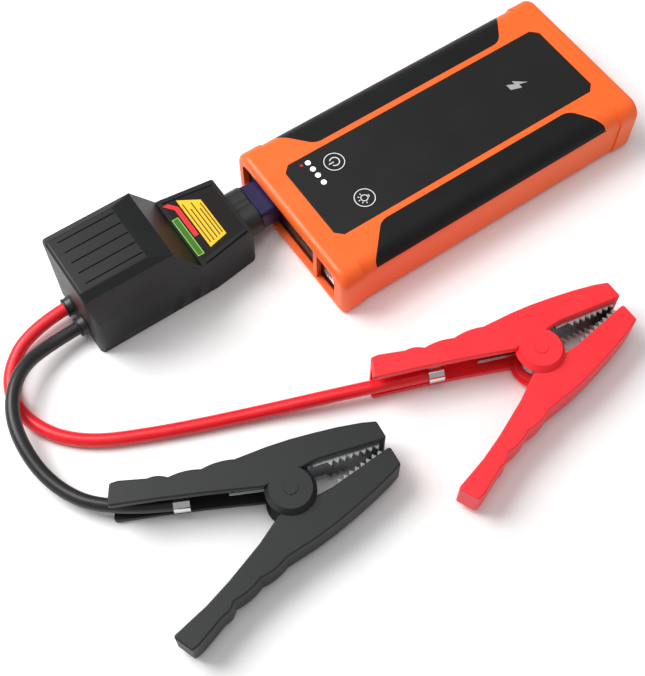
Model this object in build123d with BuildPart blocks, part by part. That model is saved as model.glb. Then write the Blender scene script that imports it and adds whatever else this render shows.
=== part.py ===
from build123d import *
import os
from math import cos, pi, radians, sin, tan

# Jump starter pack: a power bank, its clamp lead with a control box, and two battery clamps.
# X runs along the bank to its far end, Y away from its front, Z up; the origin is under its middle.

os.makedirs("parts", exist_ok=True)

# ---- driving dimensions (millimetres) ----
bank_length, bank_width, bank_height = 177.0, 90.0, 29.0
bank_wall = 2.4
bank_split = 14.5
bumper_length, bumper_proud = 12.0, 0.7
long_edge_radius, bumper_edge_radius, base_radius, end_radius = 9.0, 8.5, 3.5, 3.2
panel_half_x, panel_half_y, panel_corner, panel_depth = 76.7, 23.4, 3.6, 1.2
grip_inner_y, grip_drop, grip_depth = 26.5, 5.5, 1.2
grip_left, grip_right = -55.0, 56.5
button_x, power_y, light_y, button_radius = -53.9, 12.7, -12.1, 5.3
button_travel, button_gap = 0.6, 0.3
dot_x, dot_ys, dot_radius = -64.5, (19.2, 14.9, 10.7, 5.9), 1.35
fault_dot, fault_dot_radius = (-67.9, 19.6), 0.7
port_low_y, port_high_y, port_low_z, port_high_z = -37.4, 39.6, 4.4, 24.0
plug_y, plug_z, plug_width, plug_tall = 21.6, 14.0, 20.5, 13.0
pin_radius, pin_clearance, pin_spacing = 2.6, 0.08, 9.6
usb_c_y, usb_a_y, torch_y, usb_deep = 1.5, -10.4, -30.2, 9.0
tube_radius = 3.9
panel_back_x = -83.3
rib_inner_x = panel_back_x - 1.65
screw_pitch_x, screw_pitch_y, screw_head_r, screw_head_deep = 138.0, 75.6, 2.6, 1.8
board_top_z, board_thick, board_middle_x = 20.4, 1.6, -55.0
well_floor_z, flange_radius, stem_radius, stem_end_z = 25.4, 6.4, 2.2, 23.0

box_y = 21.6
box_rear_x, box_front_x, box_wall = -190.5, -104.0, 2.2
box_split_z, label_z = 24.0, 25.4
neck_lobe_radius, neck_lobe_offset = 7.8, 4.9

hump_z, box_half_width, frame_tall = 47.0, 21.3, 0.8
hump_edge_radius = 1.8
flute_radius, flute_depth, flute_top_z = 7.0, 0.9, 12.0
neck_core_width, neck_core_tall, neck_end_x, plug_tip_x, pin_tip_x = 16.0, 9.0, -95.7, -77.0, -69.5
board_rest_z = 12.0
box_screw_spots = [(-180.0, 8.0), (-180.0, 35.2), (-122.0, 10.0), (-122.0, 33.2)]

cable_radius = 3.15
cable_pair_offset, cable_exit_z = 6.1, 7.0

arm_thickness, ear_thickness = 22.0, 3.1
lever_inset, lever_cheek = 3.4, 2.6
pin_r, hub_radius, ear_top_radius, ear_root_radius = 2.5, 9.4, 9.2, 11.0
jaw_sheet, tooth_count, tooth_height, wave_height = 1.2, 8, 2.2, 0.9
pin_head_r, spring_radius, spring_wire, spring_low = 3.1, 6.2, 1.0, 8.1
arm_corner_radius, arm_edge_radius = 1.2, 0.9
tail_low, tail_high = 13.5, 18.0
crimp_length = 7.0
clamp_spots = {
    "red": (-32.8, -116.4, 0.0),
    "black": (-159.5, -108.4, -5.3),
}

bank_end = bank_length / 2


def save(part, name):
    part.label = name
    export_step(part, f"parts/{name}.step")


# ---- power bank: outer form, shared by both shells and the grips ----
def bank_bar(half_x, width, top_radius):
    """A bar along X with the bank's end profile: wide rounding on top, small rounding below."""
    with BuildPart() as bar:
        with BuildSketch(Plane.YZ.offset(-half_x)):
            with Locations((0, bank_height / 2)):
                Rectangle(width, bank_height)
            fillet(vertices().group_by(Axis.Y)[-1], top_radius)
            fillet(vertices().group_by(Axis.Y)[0], base_radius)
        extrude(amount=2 * half_x)
    return bar.part


core_width = bank_width - 2 * bumper_proud
bank_core = bank_bar(bank_end - bumper_length + 1, core_width, long_edge_radius)
with BuildPart() as bank_solid:
    add(bank_bar(bank_end, bank_width, bumper_edge_radius))
    fillet(bank_solid.faces().filter_by(Axis.X).edges(), end_radius)
    with BuildSketch(Plane.XY.offset(-1)):
        Rectangle(2 * (bank_end - bumper_length), bank_width + 2)
    extrude(amount=bank_height + 2, mode=Mode.SUBTRACT)
    add(bank_core)

with BuildPart() as bank_cavity:
    with BuildSketch(Plane.XY.offset(bank_wall)):
        RectangleRounded(bank_length - 2 * bank_wall - 0.8, bank_width - 2 * (bank_wall + bumper_proud), 4)
    extrude(amount=bank_height - 2 * bank_wall - panel_depth)
    fillet(bank_cavity.edges().filter_by(Axis.X).group_by(Axis.Z)[-1], long_edge_radius - 2)

with BuildPart() as port_opening:
    with BuildSketch(Plane.YZ.offset(-bank_end - 1)):
        with Locations(((port_low_y + port_high_y) / 2, (port_low_z + port_high_z) / 2)):
            RectangleRounded(port_high_y - port_low_y, port_high_z - port_low_z, 4)
    extrude(amount=bank_wall + 3)


def screw_columns(radius, hole, base, top):
    """Four hollow screw columns standing inside the bank."""
    with BuildSketch(Plane.XY.offset(base)) as columns:
        with GridLocations(screw_pitch_x, screw_pitch_y, 2, 2):
            Circle(radius)
            Circle(hole, mode=Mode.SUBTRACT)
    extrude(columns.sketch, amount=top - base)


# ---- lower shell, with the slanted rib that divides the port opening ----
with BuildPart() as lower_shell:
    add(bank_solid.part)
    add(bank_cavity.part, mode=Mode.SUBTRACT)
    add(port_opening.part, mode=Mode.SUBTRACT)
    split(bisect_by=Plane.XY.offset(bank_split), keep=Keep.BOTTOM)
    with BuildSketch(Plane.XY):
        with GridLocations(screw_pitch_x, screw_pitch_y, 2, 2):
            Circle(screw_head_r + 0.2)
    extrude(amount=screw_head_deep, mode=Mode.SUBTRACT)
    with BuildSketch(Plane.XY):
        with GridLocations(screw_pitch_x, screw_pitch_y, 2, 2):
            Circle(1.7)
    extrude(amount=bank_wall, mode=Mode.SUBTRACT)
    screw_columns(3.6, 1.7, screw_head_deep + 0.6, bank_split - 0.2)
    with BuildSketch(Plane.XY.offset(port_low_z - 1)):
        Polygon((rib_inner_x, -18.2), (-bank_end + 0.4, -19.6), (-bank_end + 0.4, -22.6),
                (rib_inner_x, -21.6), align=None)
    extrude(amount=port_high_z - port_low_z + 0.8)
save(lower_shell.part, "lower_shell")

# ---- side grips: skins over the rounded long edges ----
with BuildPart() as grip_core:
    with BuildSketch():
        Rectangle(bank_length + 10, bank_width - 2 * (bumper_proud + grip_depth))
    extrude(amount=bank_height - grip_depth)
    fillet(grip_core.edges().filter_by(Axis.X).group_by(Axis.Z)[-1], long_edge_radius - grip_depth)


def grip_block(side):
    """The space of one grip: its slanted outline, down to the depth of the skin."""
    with BuildPart() as block:
        with BuildSketch(Plane.XY.offset(bank_height - grip_drop)):
            with BuildLine():
                FilletPolyline((grip_left - 14.5, side * 47), (grip_left - 14, side * 42),
                               (grip_left, side * grip_inner_y), (grip_right, side * grip_inner_y),
                               (grip_right + 10.5, side * 42), (grip_right + 11, side * 47),
                               radius=[3, 8, 8, 3])
                Line((grip_right + 11, side * 47), (grip_left - 14.5, side * 47))
            make_face()
        extrude(amount=grip_drop + 1)
        add(grip_core.part, mode=Mode.SUBTRACT)
    return block.part


grip_blocks = [grip_block(-1), grip_block(1)]
for block, grip_name in zip(grip_blocks, ("side_grip_front", "side_grip_back")):
    with BuildPart() as side_grip:
        add(bank_core)
        add(block, mode=Mode.INTERSECT)
    save(side_grip.part, grip_name)

# ---- upper shell: recess for the panel, seats for the grips, button wells and light bores ----
button_spots = [(button_x, power_y), (button_x, light_y)]
dot_spots = [(dot_x, y) for y in dot_ys] + [fault_dot]
dot_circles = [((dot_x, y), dot_radius) for y in dot_ys] + [(fault_dot, fault_dot_radius)]
panel_z = bank_height - panel_depth
with BuildPart() as upper_shell:
    add(bank_solid.part)
    add(bank_cavity.part, mode=Mode.SUBTRACT)
    add(port_opening.part, mode=Mode.SUBTRACT)
    split(bisect_by=Plane.XY.offset(bank_split), keep=Keep.TOP)
    for block in grip_blocks:
        add(block, mode=Mode.SUBTRACT)
    with BuildSketch(Plane.XY.offset(panel_z)):
        Rectangle(2 * panel_half_x, 2 * panel_half_y)
        chamfer(vertices(), panel_corner)
    extrude(amount=panel_depth + 1, mode=Mode.SUBTRACT)
    with BuildSketch(Plane.XY.offset(well_floor_z - 1.6)):
        with Locations(*button_spots):
            Circle(flange_radius + 1.8)
    extrude(amount=panel_z - well_floor_z + 1.6)
    with BuildSketch(Plane.XY.offset(well_floor_z)):
        with Locations(*button_spots):
            Circle(flange_radius + 0.4)
    extrude(amount=panel_depth + 5, mode=Mode.SUBTRACT)
    with BuildSketch(Plane.XY.offset(bank_split)):
        with Locations(*button_spots):
            Circle(stem_radius + 0.4)
        for spot, radius in dot_circles:
            with Locations(spot):
                Circle(radius + 0.05)
    extrude(amount=bank_split, mode=Mode.SUBTRACT)
    screw_columns(3.6, 1.2, bank_split + 0.2, bank_height - panel_depth - bank_wall)
save(upper_shell.part, "upper_shell")

# ---- top panel ----
with BuildPart() as top_panel:
    with BuildSketch(Plane.XY.offset(panel_z)):
        Rectangle(2 * panel_half_x - 0.2, 2 * panel_half_y - 0.2)
        chamfer(vertices(), panel_corner)
        with Locations(*button_spots):
            Circle(button_radius + button_gap, mode=Mode.SUBTRACT)
        for spot, radius in dot_circles:
            with Locations(spot):
                Circle(radius + 0.05, mode=Mode.SUBTRACT)
    extrude(amount=panel_depth)
    fillet(top_panel.edges().group_by(Axis.Z)[-1].filter_by(GeomType.LINE), 0.25)
save(top_panel.part, "top_panel")

with BuildPart() as charge_light_guides:
    with BuildSketch(Plane.XY.offset(board_top_z + 1.2)):
        for spot, radius in dot_circles:
            with Locations(spot):
                Circle(radius)
    extrude(amount=bank_height - board_top_z - 1.2 - 0.05)
save(charge_light_guides.part, "charge_light_guides")


def push_button(y, name):
    """A flush cap on a retaining flange, with a stem down to its switch."""
    with BuildPart() as cap:
        with BuildSketch(Plane.XY.offset(panel_z - 0.3)):
            with Locations((button_x, y)):
                Circle(button_radius)
        extrude(amount=panel_depth + 0.3)
        fillet(cap.edges().group_by(Axis.Z)[-1], 0.3)
        with BuildSketch(Plane.XY.offset(panel_z - 0.3)):
            with Locations((button_x, y)):
                Circle(flange_radius)
        extrude(amount=-1.0)
        with BuildSketch(Plane.XY.offset(panel_z - 1.3)):
            with Locations((button_x, y)):
                Circle(stem_radius)
        extrude(amount=-(panel_z - 1.3 - stem_end_z))
    save(cap.part, name)


push_button(power_y, "power_button")
push_button(light_y, "light_button")

# ---- port end: panel, sockets and torch ----
with BuildPart() as port_panel:
    with BuildSketch(Plane.YZ.offset(panel_back_x)):
        with Locations(((port_low_y + port_high_y) / 2, (port_low_z + port_high_z) / 2)):
            RectangleRounded(port_high_y - port_low_y + 2, port_high_z - port_low_z + 2, 5)
        with Locations((plug_y, plug_z)):
            RectangleRounded(plug_width + 4.4, plug_tall + 4.0, 3, mode=Mode.SUBTRACT)
        with Locations((usb_c_y, plug_z)):
            RectangleRounded(9.6, 3.8, 1.8, mode=Mode.SUBTRACT)
        with Locations((usb_a_y, plug_z)):
            RectangleRounded(13.6, 6.4, 0.6, mode=Mode.SUBTRACT)
        with Locations((torch_y, plug_z)):
            RectangleRounded(12.2, 12.2, 3, mode=Mode.SUBTRACT)
    extrude(amount=-1.6)
    add(bank_cavity.part, mode=Mode.INTERSECT)
save(port_panel.part, "port_panel")

socket_mouth_x, socket_back_x = panel_back_x - 1.5, -71.0
with BuildPart() as clamp_socket:
    with BuildSketch(Plane.YZ.offset(socket_mouth_x)):
        with Locations((plug_y, plug_z)):
            RectangleRounded(plug_width + 4.0, plug_tall + 3.6, 2.8)
    extrude(amount=socket_back_x - socket_mouth_x)
    with BuildSketch(Plane.YZ.offset(socket_mouth_x)):
        with Locations((plug_y, plug_z)):
            RectangleRounded(plug_width + 0.8, plug_tall + 0.8, 2)
    extrude(amount=socket_back_x - socket_mouth_x - 3, mode=Mode.SUBTRACT)
    with BuildSketch(Plane.YZ.offset(socket_back_x)):
        with Locations((plug_y, plug_z)):
            with GridLocations(pin_spacing, 1, 2, 1):
                Circle(tube_radius + 0.02)
    extrude(amount=-4, mode=Mode.SUBTRACT)
save(clamp_socket.part, "clamp_socket")

with BuildPart() as socket_contacts:
    with BuildSketch(Plane.YZ.offset(socket_back_x + 4)):
        with Locations((plug_y, plug_z)):
            with GridLocations(pin_spacing, 1, 2, 1):
                Circle(tube_radius)
    extrude(amount=-8)
    with BuildSketch(Plane.YZ.offset(socket_back_x - 5)):
        with Locations((plug_y, plug_z)):
            with GridLocations(pin_spacing, 1, 2, 1):
                Circle(pin_radius + pin_clearance)
    extrude(amount=7.6, mode=Mode.SUBTRACT)
save(socket_contacts.part, "socket_contacts")


def usb_socket(y, wide, tall, corner, tongue, name):
    """A folded metal shell, open to the port end, with its contact tongue."""
    with BuildPart() as socket:
        with BuildSketch(Plane.YZ.offset(panel_back_x - 1.3)):
            with Locations((y, plug_z)):
                RectangleRounded(wide, tall, corner)
        extrude(amount=usb_deep)
        with BuildSketch(Plane.YZ.offset(panel_back_x - 1.3)):
            with Locations((y, plug_z)):
                RectangleRounded(wide - 0.7, tall - 0.7, corner - 0.3)
                RectangleRounded(wide - 2.4, tongue, tongue / 2.2, mode=Mode.SUBTRACT)
        extrude(amount=usb_deep - 1.2, mode=Mode.SUBTRACT)
    save(socket.part, name)


usb_socket(usb_c_y, 9.2, 3.4, 1.65, 0.75, "usb_c_socket")
usb_socket(usb_a_y, 13.2, 5.9, 0.6, 1.9, "usb_a_socket")

with BuildPart() as torch_lens:
    with BuildSketch(Plane.YZ.offset(panel_back_x - 1.8)):
        with Locations((torch_y, plug_z)):
            RectangleRounded(11.8, 11.8, 2.8)
    extrude(amount=1.7)
    fillet(torch_lens.edges().group_by(Axis.X)[0], 0.5)
save(torch_lens.part, "torch_lens")

with BuildPart() as torch_reflector:
    with BuildSketch(Plane.YZ.offset(panel_back_x)):
        with Locations((torch_y, plug_z)):
            RectangleRounded(11.6, 11.6, 2.6)
    extrude(amount=8)
    with BuildSketch(Plane.YZ.offset(panel_back_x)):
        with Locations((torch_y, plug_z)):
            Circle(5.2)
    with BuildSketch(Plane.YZ.offset(panel_back_x + 8)):
        with Locations((torch_y, plug_z)):
            Circle(2.2)
    loft(mode=Mode.SUBTRACT)
save(torch_reflector.part, "torch_reflector")

with BuildPart() as torch_board:
    with BuildSketch(Plane.YZ.offset(panel_back_x + 8.05)):
        with Locations((torch_y, plug_z)):
            Rectangle(12, 14)
    extrude(amount=1.2)
    with BuildSketch(Plane.YZ.offset(panel_back_x + 8.05)):
        with Locations((torch_y, plug_z)):
            Rectangle(3, 3)
    extrude(amount=-1.2)
save(torch_board.part, "torch_board")

# ---- inside the bank: cells, pad, boards, busbars ----
cell_length, cell_width, cell_tall, cell_count = 112.0, 66.0, 4.7, 4
cell_middle_x = 20.0
with BuildPart() as battery_cells:
    for layer in range(cell_count):
        with BuildSketch(Plane.XY.offset(bank_wall + 0.2 + layer * (cell_tall + 0.15))):
            with Locations((cell_middle_x, 0)):
                RectangleRounded(cell_length, cell_width, 3)
        extrude(amount=cell_tall)
save(battery_cells.part, "battery_cells")

cells_top_z = bank_wall + 0.2 + cell_count * (cell_tall + 0.15)
with BuildPart() as cell_pad:
    with BuildSketch(Plane.XY.offset(cells_top_z + 0.05)):
        with Locations((cell_middle_x, 0)):
            Rectangle(cell_length - 20, 40)
    extrude(amount=1.4)
save(cell_pad.part, "cell_pad")

with BuildPart() as main_board:
    with BuildSketch(Plane.XY.offset(board_top_z - board_thick)):
        with Locations((board_middle_x, -5)):
            Rectangle(30, 56)
    extrude(amount=board_thick)
    with BuildSketch(Plane.XY.offset(board_top_z)):
        with Locations(*dot_spots):
            Rectangle(1.8, 1.8)
    extrude(amount=0.8)
save(main_board.part, "main_board")

with BuildPart() as board_components:
    with BuildSketch(Plane.XY.offset(board_top_z - board_thick - 0.05)):
        with Locations((-47, -30), (-57, -32)):
            Circle(4)
        with Locations((-52, -16)):
            RectangleRounded(12, 12, 2)
    extrude(amount=-7)
save(board_components.part, "board_components")

with BuildPart() as tact_switches:
    with BuildSketch(Plane.XY.offset(board_top_z + 0.02)):
        with Locations(*button_spots):
            Rectangle(6, 6)
    extrude(amount=1.3)
    with BuildSketch(Plane.XY.offset(board_top_z + 1.3)):
        with Locations(*button_spots):
            Circle(1.6)
    extrude(amount=stem_end_z - button_travel - 0.15 - board_top_z - 1.3)
save(tact_switches.part, "tact_switches")

with BuildPart() as busbars:
    for side in (-1, 1):
        with BuildSketch(Plane.XZ.offset(-(plug_y + side * pin_spacing / 2) - 1.5)):
            Polygon((socket_back_x + 4.1, plug_z - 2.5), (socket_back_x + 20, plug_z - 2.5),
                    (socket_back_x + 20, plug_z + 2.5), (socket_back_x + 4.1, plug_z + 2.5), align=None)
        extrude(amount=3)
save(busbars.part, "busbars")

with BuildPart() as case_screws:
    with BuildSketch(Plane.XY.offset(0.4)):
        with GridLocations(screw_pitch_x, screw_pitch_y, 2, 2):
            Circle(screw_head_r)
    extrude(amount=screw_head_deep - 0.45)
    with BuildSketch(Plane.XY.offset(screw_head_deep - 0.05)):
        with GridLocations(screw_pitch_x, screw_pitch_y, 2, 2):
            Circle(1.15)
    extrude(amount=17)
save(case_screws.part, "case_screws")

# ---- control box form: plan, side and end profiles intersected ----
def box_form(inset, base, top):
    """The control box's outer form, shrunk by inset, between two heights."""
    rear, front = box_rear_x + inset, box_front_x - inset
    half = box_half_width - inset
    with BuildPart() as form:
        with BuildSketch(Plane.XY.offset(base)):
            Polygon((rear, box_y - half), (-134, box_y - half), (front, box_y - half + 4),
                    (front, box_y + half - 4), (-134, box_y + half), (rear, box_y + half), align=None)
            fillet(vertices(), 3.6)
        extrude(amount=top - base)
        with BuildSketch(Plane.XZ.offset(-box_y - 40)):
            Polygon((rear, base), (front + 1, base), (front - 1.6, label_z - inset),
                    (-134.3 - inset / 2, label_z - inset), (-146.5 - inset / 2, 44.8 - inset),
                    (-157, hump_z - inset), (rear, hump_z - inset), align=None)
        extrude(amount=80, mode=Mode.INTERSECT)
        with BuildSketch(Plane.YZ.offset(box_rear_x - 1)):
            Polygon((box_y - half + 0.8, base), (box_y - half, 6), (box_y - half, box_split_z),
                    (box_y - half + 1.7, 44.5 - inset), (box_y - half + 5.9, hump_z - inset),
                    (box_y + half - 5.9, hump_z - inset), (box_y + half - 1.7, 44.5 - inset),
                    (box_y + half, box_split_z), (box_y + half, 6), (box_y + half - 0.8, base), align=None)
        extrude(amount=box_front_x - box_rear_x + 2, mode=Mode.INTERSECT)
    return form.part


box_outer = box_form(0, 0, hump_z)
hump_edges = box_outer.edges().filter_by(lambda edge: edge.bounding_box().max.Z > hump_z - 0.1)
box_outer = fillet(hump_edges, hump_edge_radius)
box_inner = box_form(box_wall, box_wall, hump_z - box_wall)
label_corners = [(-132.2, -18.4), (-107.8, -14.6), (-107.8, 14.6), (-132.2, 18.4)]
cable_ys = {"red": box_y + cable_pair_offset, "black": box_y - cable_pair_offset}

with BuildPart() as control_box_lower:
    add(box_outer)
    add(box_inner, mode=Mode.SUBTRACT)
    split(bisect_by=Plane.XY.offset(box_split_z), keep=Keep.BOTTOM)
    for side in (-1, 1):
        with BuildSketch(Plane.XY):
            with Locations((0, box_y + side * (box_half_width + flute_radius - flute_depth))):
                with Locations(*[(-150 + 9 * step, 0) for step in range(5)]):
                    Circle(flute_radius)
        extrude(amount=flute_top_z, mode=Mode.SUBTRACT)
    with BuildSketch(Plane.YZ.offset(box_rear_x - 1)):
        with Locations(*[(y, cable_exit_z) for y in cable_ys.values()]):
            Circle(cable_radius + 0.15)
    extrude(amount=box_wall + 3, mode=Mode.SUBTRACT)
    with BuildSketch(Plane.YZ.offset(box_front_x - 6)):
        with Locations((box_y, plug_z)):
            Rectangle(neck_core_width, neck_core_tall)
    extrude(amount=8, mode=Mode.SUBTRACT)
    with BuildSketch(Plane.XY):
        with Locations(*box_screw_spots):
            Circle(2.5)
    extrude(amount=1.6, mode=Mode.SUBTRACT)
    with BuildSketch(Plane.XY.offset(1)):
        with Locations(*box_screw_spots):
            Circle(1.3)
    extrude(amount=2, mode=Mode.SUBTRACT)
save(control_box_lower.part, "control_box_lower")

with BuildPart() as control_box_upper:
    add(box_outer)
    add(box_inner, mode=Mode.SUBTRACT)
    split(bisect_by=Plane.XY.offset(box_split_z), keep=Keep.TOP)
    with BuildSketch(Plane.XY.offset(label_z - 0.4)):
        Polygon(*[(x, box_y + y * 1.12) for x, y in label_corners], align=None)
        Polygon(*[(x, box_y + y) for x, y in label_corners], align=None, mode=Mode.SUBTRACT)
    extrude(amount=0.4 + frame_tall)
    with BuildSketch(Plane.XY.offset(hump_z - 0.5)):
        with Locations((-171.3, box_y)):
            with GridLocations(1, 6.2, 1, 5):
                Rectangle(28, 0.7)
    extrude(amount=1, mode=Mode.SUBTRACT)
save(control_box_upper.part, "control_box_upper")

with BuildPart() as control_box_label:
    with BuildSketch(Plane.XY.offset(label_z + 0.02)):
        Polygon(*[(x, box_y + y * 0.985) for x, y in label_corners], align=None)
    extrude(amount=0.4)
save(control_box_label.part, "control_box_label")

with BuildPart() as control_board:
    with BuildSketch(Plane.XY.offset(board_rest_z)):
        with Locations((-153, box_y)):
            Rectangle(64, 34)
    extrude(amount=1.6)
    with BuildSketch(Plane.XY.offset(box_wall)):
        with Locations(*box_screw_spots):
            Circle(3)
            Circle(1.0, mode=Mode.SUBTRACT)
    extrude(amount=board_rest_z - box_wall)
save(control_board.part, "control_board")

with BuildPart() as power_relays:
    with BuildSketch(Plane.XY.offset(board_rest_z + 1.65)):
        with Locations((-168, box_y)):
            with GridLocations(1, 17, 1, 2):
                RectangleRounded(20, 15.5, 1)
    extrude(amount=18)
save(power_relays.part, "power_relays")

with BuildPart() as box_screws:
    with BuildSketch(Plane.XY.offset(0.3)):
        with Locations(*box_screw_spots):
            Circle(2.3)
    extrude(amount=1.25)
    with BuildSketch(Plane.XY.offset(1.5)):
        with Locations(*box_screw_spots):
            Circle(0.95)
    extrude(amount=8)
save(box_screws.part, "box_screws")

with BuildPart() as cable_grommets:
    with BuildSketch(Plane.YZ.offset(box_rear_x)):
        with Locations(*[(y, cable_exit_z) for y in cable_ys.values()]):
            Circle(cable_radius + 2.2)
            Circle(cable_radius + 0.05, mode=Mode.SUBTRACT)
    extrude(amount=-3.2)
    fillet(cable_grommets.edges().group_by(Axis.X)[0], 0.8)
save(cable_grommets.part, "cable_grommets")

# ---- neck, plug and pins ----
with BuildPart() as plug_neck:
    with BuildSketch(Plane.YZ.offset(box_front_x - 1)):
        for side in (-1, 1):
            with Locations((box_y + side * neck_lobe_offset, plug_z)):
                Circle(neck_lobe_radius)
        with Locations((box_y, plug_z)):
            Rectangle(2 * neck_lobe_offset, 13.6)
    extrude(amount=neck_end_x - box_front_x + 1)
    fillet(plug_neck.edges().group_by(Axis.X)[-1], 1)
    add(box_outer, mode=Mode.SUBTRACT)
    with BuildSketch(Plane.YZ.offset(box_front_x - 5)):
        with Locations((box_y, plug_z)):
            Rectangle(neck_core_width - 0.2, neck_core_tall - 0.2)
    extrude(amount=7)
save(plug_neck.part, "plug_neck")

with BuildPart() as plug_housing:
    with BuildSketch(Plane.YZ.offset(neck_end_x)):
        with Locations((plug_y, plug_z)):
            RectangleRounded(plug_width, plug_tall, 2.4)
    extrude(amount=plug_tip_x - neck_end_x)
    fillet(plug_housing.edges().group_by(Axis.X)[-1], 0.6)
    with BuildSketch(Plane.YZ.offset(neck_end_x)):
        with Locations((plug_y, plug_z)):
            with GridLocations(pin_spacing, 1, 2, 1):
                Circle(pin_radius + 0.02)
    extrude(amount=plug_tip_x - neck_end_x + 1, mode=Mode.SUBTRACT)
save(plug_housing.part, "plug_housing")

with BuildPart() as plug_pins:
    with BuildSketch(Plane.YZ.offset(neck_end_x + 0.02)):
        with Locations((plug_y, plug_z)):
            with GridLocations(pin_spacing, 1, 2, 1):
                Circle(pin_radius)
    extrude(amount=pin_tip_x - neck_end_x)
    chamfer(plug_pins.edges().group_by(Axis.X)[-1], 0.6)
save(plug_pins.part, "plug_pins")

# ---- cables: straight runs joined by the largest arcs that fit ----
def cable_radii(points):
    """For each inner corner, the arc that uses 0.45 of its shorter run."""
    radii = []
    for before, corner, after in zip(points, points[1:], points[2:]):
        arriving = Vector(*corner) - Vector(*before)
        leaving = Vector(*after) - Vector(*corner)
        half_turn = radians(arriving.get_angle(leaving)) / 2
        radii.append(0.45 * min(arriving.length, leaving.length) / tan(half_turn))
    return radii


def cable(points, name):
    """One round cable from inside the control box to the crimp in its clamp."""
    radii = cable_radii(points)
    with BuildPart() as tube:
        with BuildLine() as route:
            FilletPolyline(*points, radius=radii)
        with BuildSketch(Plane(route.wires()[0] @ 0, z_dir=route.wires()[0] % 0)):
            Circle(cable_radius)
        sweep()
    length = route.wires()[0].length
    print(name, "length", round(length, 1), "radii", [round(radius, 1) for radius in radii],
          "volume ratio", round(tube.part.volume / (pi * cable_radius**2 * length), 4))
    save(tube.part, name)


red_y, black_y = cable_ys["red"], cable_ys["black"]
routes = {
    "red": [(-186, red_y, cable_exit_z), (-212, red_y, cable_exit_z), (-233, 13.5, 3.3), (-236.5, -9, 3.2),
            (-222, -33, 3.2), (-188, -49.8, 3.3), (-147, -66.0, 3.8), (-119, -78.0, 7.4),
            (-70.8, -96.9, 8.5)],
    "black": [(-186, black_y, cable_exit_z), (-206, black_y, cable_exit_z), (-228, 8.5, 12.8),
              (-242, -13, 12.8), (-241.5, -45, 7.8), (-225.2, -70.6, 8.3), (-195.5, -85.5, 8.5)],
}
for colour, route_points in routes.items():
    cable(route_points, colour + "_cable")


def finger_waves(troughs):
    """The stretches between neighbouring troughs of a handle's finger grip."""
    return list(zip(troughs, troughs[1:]))


def wave_crest(start, end):
    """The top of one finger wave, pushed out from the middle of its chord."""
    chord = Vector(*end) - Vector(*start)
    outward = Vector(-chord.Y, chord.X, 0).normalized()
    if outward.Y * start[1] < 0:
        outward = -outward
    middle = (Vector(*start) + Vector(*end)) / 2 + outward * wave_height
    return (middle.X, middle.Y)


def tooth_line(start, end, side=1):
    """Triangular teeth along a jaw's edge, from its nose back to its heel."""
    chord = Vector(*end) - Vector(*start)
    outward = Vector(-chord.Y, chord.X, 0).normalized()
    if outward.Y * side > 0:
        outward = -outward
    points = [Vector(*start)]
    for tooth in range(tooth_count):
        points.append(Vector(*start) + chord * ((tooth + 0.5) / (tooth_count + 2)) + outward * tooth_height)
        points.append(Vector(*start) + chord * ((tooth + 1) / (tooth_count + 2)))
    points.append(Vector(*end))
    return [(point.X, point.Y) for point in points]


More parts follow.
